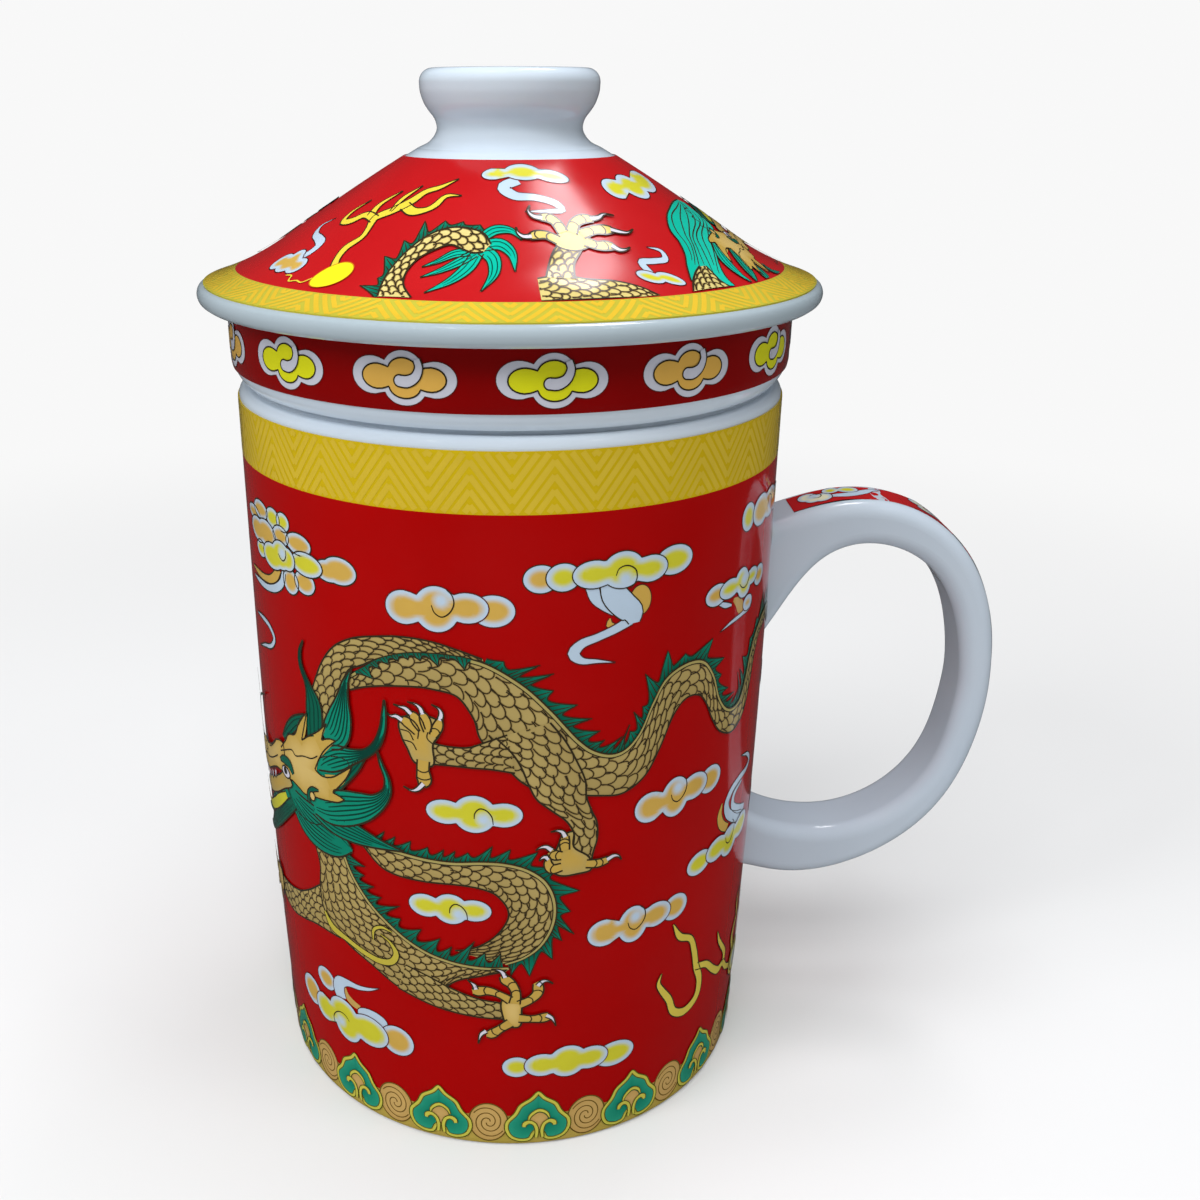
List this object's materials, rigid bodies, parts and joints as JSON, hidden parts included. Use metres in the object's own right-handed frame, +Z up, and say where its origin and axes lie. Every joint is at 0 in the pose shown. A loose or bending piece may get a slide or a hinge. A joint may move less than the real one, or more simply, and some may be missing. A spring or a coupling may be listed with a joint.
{
  "type": "lidded tea mug with infuser",
  "caption": "Porcelain tea mug with a loop handle, a strainer basket that hangs in its mouth and a tent-shaped lid with a knob, decorated in red and yellow enamel.",
  "frame": {"origin": "centre of the mug's foot, on the plane that it stands on", "axes": "+Z up the mug's axis towards the lid's knob, +X towards the handle"},
  "size_m": [0.1192, 0.0872, 0.1502],
  "materials": {
    "porcelain": "gloss",
    "red_enamel": "gloss",
    "yellow_enamel": "gloss",
    "gold_enamel": "gloss"
  },
  "bodies": {
    "mug": {"mug_body": "porcelain", "mug_handle": "porcelain", "mug_foot_border": "gold_enamel", "mug_wrap": "red_enamel", "mug_rim_band": "yellow_enamel", "handle_strip": "red_enamel"},
    "infuser": {"infuser": "porcelain", "infuser_band": "red_enamel"},
    "lid": {"lid_shell": "porcelain", "lid_knob": "porcelain", "lid_wrap": "red_enamel", "lid_rim_band": "yellow_enamel"}
  },
  "joints": [
    {"name": "infuser_lift", "type": "slide", "parent": "mug", "child": "infuser", "axis": [0, 0, 1], "range_m": [0, 0.08]},
    {"name": "lid_lift", "type": "slide", "parent": "infuser", "child": "lid", "axis": [0, 0, 1], "range_m": [0, 0.06]}
  ]
}
